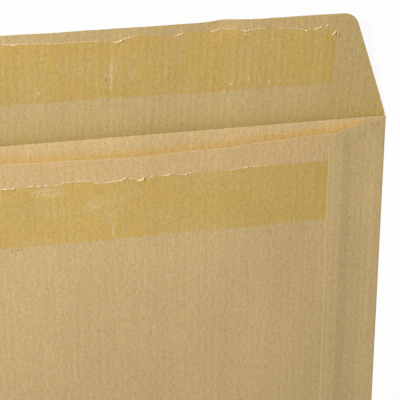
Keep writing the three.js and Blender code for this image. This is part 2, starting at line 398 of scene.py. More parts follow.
def paper_colour(tree, place):
    """The colour of bare kraft paper, and the group that gives its grain."""
    grain = tree.add("ShaderNodeGroup", {}, node_tree=GRAIN)
    ribs = tree.add("ShaderNodeGroup", {}, node_tree=RIBS)
    tree.put(grain.inputs["Place"], place)
    tree.put(ribs.inputs["Place"], place)
    colour = tree.mix(grain.outputs["Tint"], KRAFT, KRAFT_YELLOW)
    tone = tree.math("ADD", grain.outputs["Tone"], ribs.outputs["Tone"])
    grey = tree.add("ShaderNodeCombineColor", {0: tone, 1: tone, 2: tone}).outputs[0]
    colour = tree.mix(1.0, colour, grey, "MULTIPLY")
    colour = tree.mix(tree.math("MULTIPLY", grain.outputs["Bark"], BARK_STRENGTH), colour, KRAFT_BARK)
    return colour, grain


def paper_relief(tree, shader, grain, depth):
    """Fine fibre relief."""
    inputs = {"Strength": 1.0, "Distance": depth, "Height": grain.outputs["Relief"]}
    bump = tree.add("ShaderNodeBump", inputs)
    tree.put(shader.inputs["Normal"], bump.outputs["Normal"])


def kraft_material():
    """Ribbed kraft paper with a painted highlight along its cut edges, and painted light and tints from
    the values of its points.
    """
    material, tree, shader = new_material("kraft paper")
    place = tree.add("ShaderNodeUVMap", uv_map="paper").outputs["UV"]
    colour, grain = paper_colour(tree, place)
    # The pale, warm and olive lifts are painted light; the rosy and ochre ones are tints of the paper
    for name, lift in LIFTS.items():
        lifted = tree.mix(1.0, colour, lift, "MULTIPLY")
        colour = tree.mix(attribute(tree, name), colour, lifted)
    # Painted highlight along the cut edges
    edge = tree.ramp(attribute(tree, "from_cut"), 0.0, HIGHLIGHT_REACH, HIGHLIGHT_STRENGTH, 0.0)
    colour = tree.mix(edge, colour, KRAFT_EDGE_HIGHLIGHT)
    tree.put(shader.inputs["Base Color"], colour)
    tree.put(shader.inputs["Roughness"], tree.ramp(grain.outputs["Relief"], 0.2, 0.9, 0.88, 0.7))
    shader.inputs["Specular IOR Level"].default_value = 0.3
    paper_relief(tree, shader, grain, KRAFT_RELIEF)
    return material


def latex_material(name, worn, v_of):
    """Dried latex on kraft paper: the paper shows through, yellower and a little glossier."""
    material, tree, shader = new_material(name)
    place = tree.add("ShaderNodeUVMap", uv_map="paper").outputs["UV"]
    colour, grain = paper_colour(tree, place)
    cover = tree.add("ShaderNodeGroup", {}, node_tree=COVER)
    tree.put(cover.inputs["Place"], place)
    tree.put(cover.inputs["From edge"], attribute(tree, "from_cut"))
    across = tree.math("ABSOLUTE", tree.add("ShaderNodeSeparateXYZ", {0: place}).outputs[0])
    dense = tree.ramp(across, LATEX_DENSE_START, LATEX_DENSE_END, 0.0, LATEX_DENSE)
    amount = tree.math("ADD", cover.outputs["Cover"], dense, clamp=True)
    pale = None
    for x, along, reach_x, reach_along, strength in worn:
        patch = tree.add("ShaderNodeGroup", {}, node_tree=PATCH)
        tree.put(patch.inputs["Place"], place)
        patch.inputs["Middle"].default_value = (x, v_of(along), 0)
        patch.inputs["Reach"].default_value = (reach_x, reach_along, 1)
        mask = tree.math("MULTIPLY", patch.outputs["Mask"], strength)
        pale = mask if pale is None else tree.math("MAXIMUM", pale, mask)
    broken = tree.noise(place, (1.5, 0.7, 1), (33.0, 6.0, 0), 1)
    pale = tree.math("MULTIPLY", pale, tree.ramp(broken, 0.36, 0.53))
    bare = tree.math("SUBTRACT", 1.0, pale)
    amount = tree.math("MULTIPLY", amount, bare)
    tinted = tree.mix(1.0, colour, LATEX, "MULTIPLY")
    colour = tree.mix(amount, colour, tinted)
    rubbed = tree.math("MULTIPLY", pale, RUBBED_CREAM)
    colour = tree.mix(rubbed, colour, CREAM)
    tree.put(shader.inputs["Base Color"], colour)
    tree.put(shader.inputs["Roughness"], tree.ramp(amount, 0.2, 0.9, 0.75, 0.5))
    shader.inputs["Specular IOR Level"].default_value = 0.35
    paper_relief(tree, shader, grain, LATEX_RELIEF)
    return material


def curl_material():
    """Lifted latex: a thin cream skin."""
    material, tree, shader = new_material("lifted latex")
    place = tree.add("ShaderNodeUVMap", uv_map="paper").outputs["UV"]
    mottle = tree.noise(place, (1.4, 1.1, 1), (4.0, 4.0, 0), 2)
    colour = tree.mix(tree.ramp(mottle, 0.35, 0.7), CREAM, CREAM_DEEP)
    tree.put(shader.inputs["Base Color"], colour)
    tree.put(shader.inputs["Roughness"], tree.ramp(mottle, 0.3, 0.7, 0.35, 0.55))
    return material


def bark_material():
    """A dark fleck of bark in the paper."""
    material, tree, shader = new_material("bark")
    place = tree.add("ShaderNodeTexCoord").outputs["Object"]
    mottle = tree.add("ShaderNodeTexNoise", {"Vector": place, "Scale": 3000.0}).outputs["Fac"]
    colour = tree.mix(tree.ramp(mottle, 0.3, 0.7), BARK_DARK, BARK_LIGHT)
    tree.put(shader.inputs["Base Color"], colour)
    shader.inputs["Roughness"].default_value = 0.8
    return material


# The paper's form


def eased(value):
    """From 0 to 1 with soft ends."""
    share = np.clip(value, 0, 1)
    return share * share * (3 - 2 * share)


def added_waves(place, waves):
    """Several sine waves along a place, added."""
    return sum(height * np.sin(turn * place + start) for height, turn, start in waves)


def rib_height(across):
    """Height of the ribs at a distance across the developed sheet."""
    wander = added_waves(across, RIB_WANDER)
    strength = 1 + added_waves(across, RIB_STRENGTH)
    return RIB_HEIGHT * strength * np.cos(2 * math.pi * across / RIB_PITCH + wander)


def back_cockle(x, y):
    """Slight waves of the back panel, strongest at the mouth and none at the side flaps."""
    side = np.clip(1 - (np.abs(x) / BACK_WAVE_HALF_WIDTH) ** 4, 0, 1)
    along = BACK_WAVE_LEAST + (1 - BACK_WAVE_LEAST) * np.exp(-(CREASE - y) / BACK_WAVE_FADE)
    ends = eased((y - FLAT_BOTTOM) / BACK_WAVE_BOTTOM)
    slow = SLOW_WAVE_HEIGHT * np.sin(SLOW_WAVE_ACROSS * x + SLOW_WAVE_ALONG * y)
    return side * ends * (along * added_waves(x, BACK_WAVES) + slow)


def back_height(x, y):
    """Height of the middle of the back panel."""
    across = np.minimum(np.abs(x) / FLAT_HALF_WIDTH, 1)
    along = np.clip((CREASE - y) / (CREASE - FLAT_BOTTOM), 0, 1)
    crown = 1 - across**CROWN_POWER
    return UPPER_LEVEL + POCKET_RISE * crown * (1 - along**FADE_POWER) + back_cockle(x, y)


def back_half_width(run):
    """Half the back panel's width, at a distance along the paper from the bottom fold."""
    return np.maximum(FLAT_HALF_WIDTH - run * math.tan(TAPER_ANGLE), BACK_HALF_WIDTH)


def side_flap_height(x, y):
    """Height of the middle of a side flap, which climbs onto the back panel's edge."""
    past = np.abs(x) - back_half_width(FOLD_RUN + y - FLAT_BOTTOM)
    climb = SEAM_CLIMB * eased((SEAM_STEP - past) / SEAM_STEP)
    sag = sum(share * eased((past - start) / run) for share, start, run in SAG_SLOPES)
    sag = sag * (1 - eased((past - SAG_END) / SAG_END_RUN))
    ridge = np.exp(-(((past - RIDGE_PLACE) / RIDGE_REACH) ** 2))
    ends = eased((y - FLAT_BOTTOM) / SEAM_BOTTOM_RUN) * eased((CREASE - y) / SEAM_TOP_RUN)
    return back_height(x, y) + climb + (SEAM_RIDGE * ridge - SEAM_SAG * sag) * ends


def side_flap_setback(inward):
    """How far a side flap's end lies back from its fold's corner: a slope, then an oval corner."""
    in_corner = np.clip((inward - SIDE_FLAP_WIDTH) / SIDE_CORNER_WIDTH + 1, 0, 1)
    rounding = SIDE_CORNER_DEPTH * (1 - np.sqrt(1 - in_corner**2))
    return inward * math.tan(SIDE_END_ANGLE) + rounding


def flap_reach(x):
    """How far the closing flap runs out from its crease, at a place across it."""
    centre_run = FLAP_HEIGHT - FLAP_CORNER_RADIUS
    slanted_in = (centre_run - FLAP_SIDE_START) * math.tan(FLAP_SLANT)
    centre = FLAT_HALF_WIDTH - slanted_in - FLAP_CORNER_RADIUS / math.cos(FLAP_SLANT)
    beyond = np.abs(x) - centre
    slanted = FLAP_SIDE_START + (FLAT_HALF_WIDTH - np.abs(x)) / math.tan(FLAP_SLANT)
    arc = centre_run + np.sqrt(np.maximum(FLAP_CORNER_RADIUS**2 - np.maximum(beyond, 0) ** 2, 0))
    return np.where(beyond > FLAP_CORNER_RADIUS * math.cos(FLAP_SLANT), slanted, arc)


# Where the throat's cut wanders off its curve: places across, then how far
THROAT_WANDER = [
    (-81, 0.0), (-63, -0.8), (-57, -0.35), (-41, -0.35), (-30, -0.3), (-21, -0.05), (-14, -0.3),
    (-8, -0.4), (-1, -0.65), (6, -0.4), (14, 0.1), (22, -0.2), (29, -0.2), (36, 0.1), (41, 0.08),
    (46, -0.2), (53, 0.12), (58, -0.3), (63, -0.8), (81, 0.0),
]


def throat_edge(x):
    """The back panel's edge at the mouth, along Y: a shallow dip, cut a little unevenly."""
    dip = THROAT_DIP * (1 - np.minimum(np.abs(x) / (WIDTH / 2), 1) ** 2)
    return CREASE - THROAT_SETBACK - dip + np.interp(x, *zip(*THROAT_WANDER))


def profile_table():
    """The closing flap's side view: distance from the crease, place along Y, height and angle."""
    run = np.linspace(0, FLAP_HEIGHT + 1, 821)
    angle = FLAP_REST_ANGLE + (FLAP_CREASE_ANGLE - FLAP_REST_ANGLE) * np.exp(-run / FLAP_BEND)
    middle = (angle[1:] + angle[:-1]) / 2
    step = run[1] - run[0]
    y = CREASE + np.concatenate([[0], np.cumsum(step * np.cos(middle))])
    z = HALF_PAPER + np.concatenate([[0], np.cumsum(step * np.sin(middle))])
    return run, y, z, angle


PROFILE = profile_table()


def flap_cockle(x, run):
    """Slight waves of the closing flap, with two dents in its free edge."""
    dents = 0
    for middle, depth, left, right in FREE_EDGE_DENTS:
        reach = np.where(x < middle, left, right)
        dents = dents + depth * np.exp(-(((x - middle) / reach) ** 2))
    waves = eased(run / FLAP_WAVE_START) * added_waves(x, FLAP_WAVES)
    return waves - eased((run - FREE_EDGE_START) / FREE_EDGE_RUN) * dents


def normals_of(x, y, height):
    """The upward normals of a height map."""
    reach = 0.05
    slope_x = (height(x + reach, y) - height(x - reach, y)) / (2 * reach)
    slope_y = (height(x, y + reach) - height(x, y - reach)) / (2 * reach)
    normal = np.stack([-slope_x, -slope_y, np.ones_like(slope_x)], -1)
    return normal / np.linalg.norm(normal, axis=-1, keepdims=True)


def upper_layer(x, y, height):
    """Places on the upper layer, with the normals of its inside, which faces down."""
    return np.stack([x, y, height(x, y)], -1), -normals_of(x, y, height)


def closing_flap_places(x, run):
    """Places on the closing flap, with the normals of its inside, which faces up."""
    table_run, table_y, table_z, table_angle = PROFILE
    angle = np.where(run > 0, np.interp(run, table_run, table_angle), 0)
    inside = np.stack([np.zeros_like(x), -np.sin(angle), np.cos(angle)], -1)
    places = np.stack([x, np.interp(run, table_run, table_y), np.interp(run, table_run, table_z)], -1)
    return places + inside * flap_cockle(x, run)[..., None], inside


# Meshes


def make_piece(name, points, faces, place, values, material, sharp=None):
    """A piece of the object from points in millimetres, with its paper map and its values."""
    mesh = bpy.data.meshes.new(name)
    mesh.from_pydata(points * MILLIMETRE, [], faces)
    mesh.materials.append(material)
    corner = np.zeros(len(mesh.loops), np.int32)
    mesh.loops.foreach_get("vertex_index", corner)
    mesh.uv_layers.new(name="paper").data.foreach_set("uv", place[corner].astype(np.float32).ravel())
    for key, value in values.items():
        mesh.attributes.new(key, "FLOAT", "POINT").data.foreach_set("value", value.astype(np.float32))
    mesh.polygons.foreach_set("use_smooth", np.ones(len(mesh.polygons), bool))
    if sharp is not None:
        ends = np.zeros(len(mesh.edges) * 2, np.int32)
        mesh.edges.foreach_get("vertices", ends)
        keys = edge_keys(ends.reshape(-1, 2), len(points))
        is_sharp = np.isin(keys, edge_keys(sharp, len(points)))
        mesh.attributes.new("sharp_edge", "BOOLEAN", "EDGE").data.foreach_set("value", is_sharp)
    mesh.update()
    piece = bpy.data.objects.new(name, mesh)
    scene.collection.objects.link(piece)
    return piece


def edge_keys(ends, count):
    """One number for each edge, whichever way round it is."""
    ends = np.sort(np.asarray(ends, np.int64), axis=1)
    return ends[:, 0] * count + ends[:, 1]


def grid_faces(ids):
    """The four-sided faces of a grid of point numbers, without repeated corners."""
    corners = np.stack([ids[:-1, :-1], ids[:-1, 1:], ids[1:, 1:], ids[1:, :-1]], -1).reshape(-1, 4)
    return [tuple(dict.fromkeys(face)) for face in corners.tolist() if len(set(face)) > 2]


def sheet_piece(name, middle, inside, place, values, faces, low, high, material, creases=()):
    """A closed thin sheet between two distances from its middle, along the inside normal."""
    count = len(middle)
    points = np.concatenate([middle + inside * low, middle + inside * high])
    upper = [tuple(corner + count for corner in face) for face in faces]
    lower = [tuple(reversed(face)) for face in faces]
    sides = np.array([side for face in faces for side in zip(face, face[1:] + face[:1])])
    keys = edge_keys(sides, count)
    _, where, times = np.unique(keys, return_index=True, return_counts=True)
    rim = sides[where[times == 1]]
    walls = [(a, b, b + count, a + count) for a, b in rim.tolist()]
    doubled = {key: np.concatenate([value[0], value[1]]) for key, value in values.items()}
    sharp = np.concatenate([rim, rim + count, *[np.concatenate([c, c + count]) for c in creases]])
    faces = lower + upper + walls
    return make_piece(name, points, faces, np.concatenate([place, place]), doubled, material, sharp)


def spread_columns():
    """Places across the front panel. The outer ones stretch where the back panel tapers."""
    inner = np.linspace(-INNER_HALF_WIDTH, INNER_HALF_WIDTH, INNER_COLUMNS + 1)
    share = np.linspace(0, 1, OUTER_COLUMNS + 1)[1:]
    return inner, share


def columns_for(half_width):
    """Columns across, for each of the half-widths given."""
    inner, share = spread_columns()
    half_width = np.atleast_1d(half_width)[:, None]
    outer = INNER_HALF_WIDTH + share[None, :] * (half_width - INNER_HALF_WIDTH)
    middle = np.repeat(inner[None, :], len(half_width), 0)
    return np.concatenate([-outer[:, ::-1], middle, outer], 1)


def front_row(y):
    """A row of the front panel: places, normals, developed places and distances from a cut."""
    x = columns_for(FLAT_HALF_WIDTH)[0]
    along = np.full_like(x, y)
    return [
        np.stack([x, along, np.full_like(x, HALF_PAPER)], -1),
        np.tile([0.0, 0.0, 1.0], (len(x), 1)),
        np.stack([x, along], -1),
        np.full(len(x), FAR_FROM_CUT),
    ]


def side_flap_columns():
    """Places in from a side fold, closer together at the side flap's corner."""
    corner = np.linspace(0, math.pi / 2, 17)
    arc = SIDE_FLAP_WIDTH - SIDE_CORNER_WIDTH + SIDE_CORNER_WIDTH * np.sin(corner)
    flat = np.linspace(FOLD_REACH, arc[0], 30)[1:-1]
    return np.unique(np.concatenate([flat, arc, [SIDE_FLAP_WIDTH - 0.3]]))


def side_row(side, y, end_depth):
    """The same row round a side fold and over its side flap."""
    turn = np.linspace(-math.pi / 2, math.pi / 2, FOLD_STEPS + 1)[1:]
    out = np.stack([side * np.cos(turn), np.zeros_like(turn), np.sin(turn)], -1)
    centre = np.array([side * FLAT_HALF_WIDTH, y, HALF_PAPER + FOLD_RADIUS])
    fold_u = FLAT_HALF_WIDTH + FOLD_RADIUS * (turn + math.pi / 2)
    fold_cut = np.full_like(turn, min(CREASE - y, y - FLAT_BOTTOM))
    inward = side_flap_columns()
    setback = side_flap_setback(inward)
    from_top = max(1 - (CREASE - y) / end_depth, 0)
    from_bottom = max(1 - (y - FLAT_BOTTOM) / end_depth, 0)
    flap_y = y - setback * from_top + setback * from_bottom
    flap, flap_inside = upper_layer(side * (WIDTH / 2 - inward), flap_y, side_flap_height)
    flap_u = FLAT_HALF_WIDTH + FOLD_RUN + inward - FOLD_REACH
    to_end = np.minimum(CREASE - setback - flap_y, flap_y - FLAT_BOTTOM - setback)
    flap_cut = np.minimum(SIDE_FLAP_WIDTH - inward, np.maximum(to_end, 0))
    u = side * np.concatenate([fold_u, flap_u])
    v = np.concatenate([np.full_like(turn, y), flap_y])
    return [
        np.concatenate([centre + FOLD_RADIUS * out, flap]),
        np.concatenate([-out, flap_inside]),
        np.stack([u, v], -1),
        np.concatenate([fold_cut, flap_cut]),
    ]


def wrap_grid():
    """The paper that wraps the pocket: side flap, fold, front panel, fold, side flap."""
    end_depth = float(side_flap_setback(np.array(SIDE_FLAP_WIDTH))) + SIDE_CORNER_DEPTH
    near = np.array([*EDGE_STEPS, 2.0, 3.6, 6.0, 9.0, 12.0])
    middle = np.linspace(FLAT_BOTTOM + end_depth, CREASE - end_depth, 40)
    rows = []
    for y in np.concatenate([FLAT_BOTTOM + near, middle, (CREASE - near)[::-1]]):
        left = [item[::-1] for item in side_row(-1, y, end_depth)]
        parts = (left, front_row(y), side_row(1, y, end_depth))
        rows.append([np.concatenate(items) for items in zip(*parts)])
    return [np.array(items) for items in zip(*rows)]


def closing_flap_grid():
    """The closing flap, whose columns run straight out from the crease to its cut edge."""
    x = columns_for(FLAT_HALF_WIDTH)[0]
    near = np.array([0, 0.2, 0.5, 1.0, 1.7, 2.6, 3.8, 5.2, 7.0, 9.0, 12.0, 16.0, 20.0, 24.0])
    far = FLAP_HEIGHT - np.array([12.5, 9.5, 7, 5, 3.4, 2.2, 1.3, 0.8, 0.45, 0.2, 0])
    share = np.concatenate([near, far]) / FLAP_HEIGHT
    reach = flap_reach(x)
    run = share[:, None] * reach[None, :]
    across = np.repeat(x[None, :], len(share), 0)
    points, normals = closing_flap_places(across, run)
    slanted_in = np.maximum(run - FLAP_SIDE_START, 0) * math.tan(FLAP_SLANT)
    side_gap = (FLAT_HALF_WIDTH - np.abs(across) - slanted_in) * math.cos(FLAP_SLANT)
    # The painted edge highlight is fainter along the closing flap's cut edge
    from_cut = np.minimum(reach[None, :] - run, np.maximum(side_gap, 0)) + FLAP_EDGE_HIGHLIGHT_DULL
    return points, normals, np.stack([across, CREASE + run], -1), from_cut


def back_grid():
    """The back panel from the throat down, with the bottom fold that joins it to the front."""
    near = np.array([*EDGE_STEPS, 1.8, 3.0, 4.6, 7.0, 10.0, THROAT_FADE])
    taper_end = FLAT_BOTTOM + (FLAT_HALF_WIDTH - BACK_HALF_WIDTH) / math.tan(TAPER_ANGLE) - FOLD_RUN
    first = CREASE - THROAT_SETBACK
    straight = np.linspace(first - THROAT_FADE, taper_end, 40)[1:]
    bottom = np.linspace(taper_end, FLAT_BOTTOM, 8)[1:-1]
    rows = np.concatenate([first - near, straight, bottom])
    across = columns_for(back_half_width(FOLD_RUN + rows - FLAT_BOTTOM))
    fade = np.maximum(1 - (first - rows) / THROAT_FADE, 0)[:, None]
    y = rows[:, None] + (throat_edge(across) - first) * fade
    points, normals = upper_layer(across, y, back_height)
    v = FLAT_BOTTOM - FOLD_RUN - (y - FLAT_BOTTOM)
    turn = np.linspace(math.pi / 2, -math.pi / 2, FOLD_STEPS + 1)
    run = FOLD_RADIUS * (turn + math.pi / 2)
    fold_x = columns_for(back_half_width(run))
    out = np.stack([np.zeros_like(turn), -np.cos(turn), np.sin(turn)], -1)[:, None, :]
    out = np.repeat(out, fold_x.shape[1], 1)
    level = np.full_like(fold_x, HALF_PAPER + FOLD_RADIUS)
    centre = np.stack([fold_x, np.full_like(fold_x, FLAT_BOTTOM), level], -1)
    fold_v = np.repeat((FLAT_BOTTOM - run)[:, None], fold_x.shape[1], 1)
    points = np.concatenate([points, centre + FOLD_RADIUS * out])
    normals = np.concatenate([normals, -out])
    places = np.concatenate([np.stack([across, v], -1), np.stack([fold_x, fold_v], -1)])
    edge_gap = np.concatenate([throat_edge(across) - y, np.full_like(fold_x, FAR_FROM_CUT)])
    side_gap = np.concatenate([
        back_half_width(FOLD_RUN + rows - FLAT_BOTTOM)[:, None] - np.abs(across),
        back_half_width(run)[:, None] - np.abs(fold_x),
    ])
    return points, normals, places, np.minimum(edge_gap, np.maximum(side_gap, 0))


def inside_tints(points, place):
    """Painted bounce light in the mouth (pale, then warm), painted light with an olive tint near the
    crease, and ochre near the flap's edges.
    """
    across = points[:, 0]
    along = place[:, 1]
    in_mouth = (along < CREASE + CREASE_GAP) & (along > CREASE - MOUTH_PAINTED_LIGHT_REACH)
    mouth_height = back_height(across, np.full_like(across, CREASE))
    opening = CREASE - throat_edge(across) + MOUTH_SIGHT_SLOPE * mouth_height
    sides = MOUTH_SIDE_SHARE * eased((np.abs(across) - MOUTH_SIDE_START) / MOUTH_SIDE_RUN)
    share = (CREASE - points[:, 1]) / opening + sides
    deep = eased((share - WARM_START) / WARM_RUN)
    run = along - CREASE
    on_flap = run > CREASE_GAP
    at_edge = eased((run - OCHRE_START) / OCHRE_RUN)
    at_side = eased((np.abs(across) - OCHRE_SIDE_START) / OCHRE_SIDE_RUN)
    to_right = eased((across - OCHRE_LEFT_END) / OCHRE_LEFT_RUN)
    return {
        # Painted bounce light in the mouth: pale near the crease, warm deeper in
        "pale": in_mouth * (1 - deep),
        "warm": in_mouth * deep * (1 - eased((share - WARM_END) / WARM_END_RUN)),
        # Painted light near the flap's crease, with an olive tint
        "olive": on_flap * np.exp(-np.maximum(run, 0) / OLIVE_LIGHT_REACH),
        "ochre": on_flap * np.maximum(at_edge, at_side) * to_right,
    }


def rosy_outside(points, place):
    """How rosy the outside of the back panel is: most between the mouth and the latex strip."""
    on_back = place[:, 1] < FLAT_BOTTOM - FOLD_RUN / 2
    above_strip = eased((points[:, 1] - ROSY_START) / ROSY_RUN)
    above_strip = above_strip * eased((ROSY_HALF_WIDTH - np.abs(points[:, 0])) / ROSY_SIDE_RUN)
    return on_back * (ROSY_LEAST + (1 - ROSY_LEAST) * above_strip)


def folded_paper(material):
    """The whole paper sheet as one folded piece."""
    grids = wrap_grid(), closing_flap_grid(), back_grid()
    wrap, flap, back = (grid[0] for grid in grids)
    rows, columns = wrap.shape[:2]
    wrap_ids = np.arange(rows * columns).reshape(rows, columns)
    front = flap.shape[1]
    first = (columns - front) // 2
    front_columns = slice(first, first + front)
    flap_ids = rows * columns + np.arange(len(flap) * front).reshape(-1, front)
    back_ids = flap_ids.max() + 1 + np.arange(len(back) * front).reshape(-1, front)
    flap_ids[0] = wrap_ids[-1, front_columns]
    back_ids[-1] = wrap_ids[0, front_columns]
    faces = [*grid_faces(wrap_ids), *grid_faces(flap_ids), *grid_faces(back_ids)]
    flat = [[item.reshape(-1, *item.shape[2:]) for item in grid] for grid in grids]
    middle, inside, place, from_cut = (np.concatenate(items) for items in zip(*flat))
    used = np.unique([corner for face in faces for corner in face])
    renumber = np.full(len(middle), -1)
    renumber[used] = np.arange(len(used))
    faces = [tuple(renumber[list(face)].tolist()) for face in faces]
    crease_row = renumber[wrap_ids[-1, front_columns]]
    crease_edges = np.stack([crease_row[:-1], crease_row[1:]], -1)
    middle, inside, place, from_cut = middle[used], inside[used], place[used], from_cut[used]
    middle = middle - inside * rib_height(place[:, 0])[:, None]
    # Painted light and tints on the inside, carried as values of the points
    tints = inside_tints(middle, place)
    values = {"from_cut": (from_cut, from_cut)}
    values |= {name: (np.zeros_like(tint), tint) for name, tint in tints.items()}
    values["rosy"] = (rosy_outside(middle, place), np.zeros(len(middle)))
    low, high = -HALF_PAPER, HALF_PAPER
    return sheet_piece(
        "folded_paper", middle, inside, place, values, faces, low, high, material, [crease_edges]
    )


# The latex

FILM_GAP = 0.012
FILM_THICKNESS = 0.035

# The upper edge of each strip where it is torn, as places across and along, from left to right
FLAP_STRIP_TOP = [
    (-60.9, 36.2), (-54, 36.8), (-47, 36.3), (-42.5, 37.2), (-39, 36.6), (-27.8, 36.2), (-13.4, 35.8),
    (-8.3, 35.0), (-5.6, 36.1), (-2.6, 36.7), (10.0, 36.0), (12.4, 36.7), (17.6, 36.7), (21.0, 36.7),
    (23.8, 37.0), (28.8, 36.4), (30.4, 36.3), (32.6, 35.1), (35, 36.2), (41.3, 35.9), (46.7, 35.5),
    (49.6, 34.7), (52.2, 34.5), (55.3, 35.1), (57.0, 34.6), (58.4, 34.6), (59.6, 33.4), (60.9, 32.6),
]
FLAP_STRIP_BOTTOM = [
    (-60.9, 15.0), (-41.5, 15.4), (-14.1, 15.5), (13.9, 14.9), (42.6, 14.9), (54.6, 14.3), (60.9, 15.2),
]
BACK_STRIP_TOP = [
    (-60.9, 102.2), (-52, 102.5), (-44.4, 102.4), (-39.8, 102.1), (-34.9, 102.6), (-27.2, 102.4),
    (-25.9, 102.8), (-19.7, 103.0), (-14.1, 102.0), (-6.8, 102.1), (-5.3, 103.2), (-3.7, 102.5),
    (-0.5, 101.6), (0.2, 102.9), (3.0, 102.7), (5.2, 102.5), (9.4, 103.0), (12.3, 102.4), (16.4, 102.6),
    (26.2, 102.7), (34.0, 102.7), (41.0, 102.5), (51.5, 102.2), (60.9, 101.5),
]
BACK_STRIP_BOTTOM = [(-60.9, 82.0), (-43.8, 81.8), (-15.5, 82.0), (13.5, 82.3), (43.5, 81.7), (60.9, 81.3)]
STRIP_COLUMNS = 480
STRIP_SHARES = [
    0, 0.015, 0.04, 0.08, 0.14, 0.22, 0.32, 0.44, 0.56, 0.68, 0.78, 0.86, 0.92, 0.96, 0.985, 1,
]
STRIP_END_GAP = 0.3
DULL_EDGE = 0.5

# Pale worn marks in the strips: place across and along, reach across and along, then strength
FLAP_WORN = [
    (-9.4, 24.0, 0.9, 8.5, 0.75), (-7.9, 27.0, 0.5, 4.0, 0.5), (-31.5, 19.4, 0.6, 1.4, 0.7),
    (28.3, 18.1, 0.8, 1.5, 0.8), (30.9, 17.9, 0.5, 1.6, 0.7), (34.0, 18.8, 0.7, 1.8, 0.85),
    (37.2, 18.5, 0.6, 1.5, 0.7), (40.5, 17.1, 0.7, 1.3, 0.7),
]
BACK_WORN = [
    (-10.6, 89.8, 0.4, 2.2, 0.7), (-9.7, 85.6, 0.35, 3.4, 0.8), (8.3, 88.3, 0.6, 1.0, 0.9),
    (-30.0, 100.2, 7.0, 2.6, 0.45), (-15.0, 95.0, 4.0, 3.0, 0.25),
]


def ragged(x, seed):
    """A small unevenness along a strip's edge."""
    return 0.09 * np.sin(2.3 * x + seed) + 0.07 * np.sin(5.1 * x + 2 * seed) + 0.04 * np.sin(11.7 * x)


def strip_places(surface, top, bottom):
    """A grid of places over a strip, from its lower to its upper edge."""
    half = WIDTH / 2 - SIDE_FLAP_WIDTH - STRIP_END_GAP
    x = np.linspace(-half, half, STRIP_COLUMNS)
    upper = np.interp(x, *zip(*top)) + ragged(x, 1.0)
    lower = np.interp(x, *zip(*bottom)) + 0.6 * ragged(x, 4.0)
    share = np.array(STRIP_SHARES)
    along = lower[None, :] + share[:, None] * (upper - lower)[None, :]
    across = np.repeat(x[None, :], len(share), 0)
    to_side = half - np.abs(across) + DULL_EDGE
    to_top = upper[None, :] - along + DULL_EDGE
    from_cut = np.minimum(np.minimum(to_top, along - lower[None, :]), to_side)
    points, inside = surface(across, along)
    return across, along, points, inside, from_cut


def latex_film(name, surface, up, top, bottom, v_of, material):
    """A thin film over the paper, between its torn upper edge and its lower edge."""
    across, along, points, inside, from_cut = strip_places(surface, top, bottom)
    ids = np.arange(across.size).reshape(across.shape)
    outward = inside.reshape(-1, 3) * up
    middle = points.reshape(-1, 3) - inside.reshape(-1, 3) * rib_height(across.ravel())[:, None]
    faces = grid_faces(ids)
    if up < 0:
        faces = [tuple(reversed(face)) for face in faces]
    place = np.stack([across.ravel(), v_of(along.ravel())], -1)
    values = {"from_cut": (from_cut.ravel(), from_cut.ravel())}
    low = HALF_PAPER + FILM_GAP
    return sheet_piece(name, middle, outward, place, values, faces, low, low + FILM_THICKNESS, material)


def back_surface(x, y):
    """Places on the back panel."""
    return upper_layer(x, y, back_height)


def back_v(y):
    """The back panel's place along the developed sheet."""
    return 2 * FLAT_BOTTOM - FOLD_RUN - y


def flap_v(run):
    """The closing flap's place along the developed sheet."""
    return CREASE + run


# Where the film has lifted and curled: places across and along, then the curl's radius
FLAP_CURLS = [
    [(-58.0, 36.6, 0.05), (-55.5, 36.9, 0.12), (-52.0, 36.9, 0.05)],
    [(-49.0, 36.6, 0.04), (-46.0, 36.5, 0.16), (-44.6, 37.0, 0.06)],
    [
        (-42.5, 37.1, 0.05), (-40.0, 36.7, 0.07), (-38.4, 36.6, 0.17), (-37.0, 36.7, 0.1),
        (-33.0, 36.5, 0.05),
    ],
    [(-33.0, 36.5, 0.05), (-27.8, 36.2, 0.06), (-20.0, 36.1, 0.05), (-13.4, 35.9, 0.06)],
    [(-8.8, 34.9, 0.05), (-7.6, 35.2, 0.18), (-6.4, 35.8, 0.22), (-5.4, 36.2, 0.08)],
    [(-5.4, 36.2, 0.06), (-3.8, 36.5, 0.1), (-2.5, 36.7, 0.05)],
    [(9.6, 36.0, 0.05), (10.8, 36.2, 0.14), (12.0, 36.6, 0.19), (12.9, 36.8, 0.06)],
    [(20.6, 36.5, 0.05), (22.4, 36.7, 0.18), (23.7, 37.0, 0.16), (24.1, 37.1, 0.05)],
    [(24.1, 37.0, 0.05), (26.6, 36.7, 0.07), (29.0, 36.9, 0.05)],
    [(30.2, 36.5, 0.05), (31.2, 36.2, 0.2), (32.3, 35.9, 0.22), (33.3, 36.3, 0.06)],
    [(31.2, 35.2, 0.05), (31.8, 34.9, 0.15), (32.6, 35.1, 0.05)],
    [(33.3, 36.3, 0.05), (35.4, 36.5, 0.07), (38.0, 36.5, 0.04)],
    [(41.0, 36.1, 0.05), (43.4, 36.1, 0.08), (46.7, 35.8, 0.08), (49.0, 35.3, 0.08), (50.2, 34.9, 0.05)],
    [(50.2, 34.9, 0.07), (51.0, 34.7, 0.24), (51.8, 34.8, 0.14), (52.4, 35.1, 0.05)],
    [(53.0, 34.8, 0.05), (54.2, 35.1, 0.16), (55.5, 35.5, 0.14), (56.2, 35.7, 0.05)],
    [(56.8, 35.7, 0.05), (57.6, 36.0, 0.14), (58.2, 36.4, 0.05)],
    [(59.1, 32.4, 0.06), (59.6, 32.9, 0.22), (60.3, 33.6, 0.2), (60.8, 34.0, 0.08)],
    [(60.8, 34.0, 0.08), (61.3, 33.3, 0.22), (61.6, 32.3, 0.2), (61.8, 31.0, 0.06)],
]
